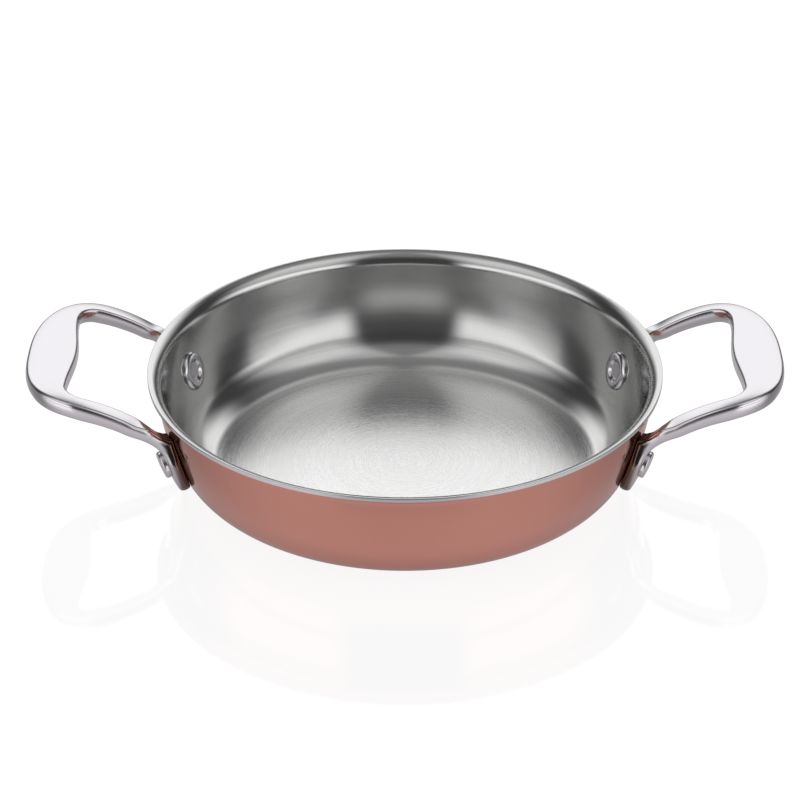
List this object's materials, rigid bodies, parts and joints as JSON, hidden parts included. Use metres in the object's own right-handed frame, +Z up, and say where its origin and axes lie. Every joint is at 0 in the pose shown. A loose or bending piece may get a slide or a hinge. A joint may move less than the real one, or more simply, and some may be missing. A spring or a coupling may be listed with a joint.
{
  "type": "round serving pan",
  "caption": "Shallow round clad serving pan, open at the top, with a flared rim and riveted cast loop handles on opposite sides.",
  "frame": {"origin": "on the table under the middle of the pan", "axes": "+Z up out of the open pan; +X from the middle of the pan through the right handle; +Y away from the picture's camera"},
  "size_m": [0.293, 0.2, 0.0523],
  "materials": {
    "copper": "satin-polished copper, turned grain running round the wall",
    "core": "ground edge, seen only as a thin line in the rim",
    "liner": "brushed in circles round the middle of the pan",
    "handle": "polished cast stainless steel",
    "rivet": "polished stainless steel"
  },
  "bodies": {
    "root": {"copper_shell": "copper", "aluminium_core": "core", "steel_liner": "liner", "handle_right": "handle", "handle_left": "handle", "rivet_right_back": "rivet", "rivet_left_back": "rivet", "rivet_left_front": "rivet", "rivet_right_front": "rivet"}
  },
  "joints": []
}
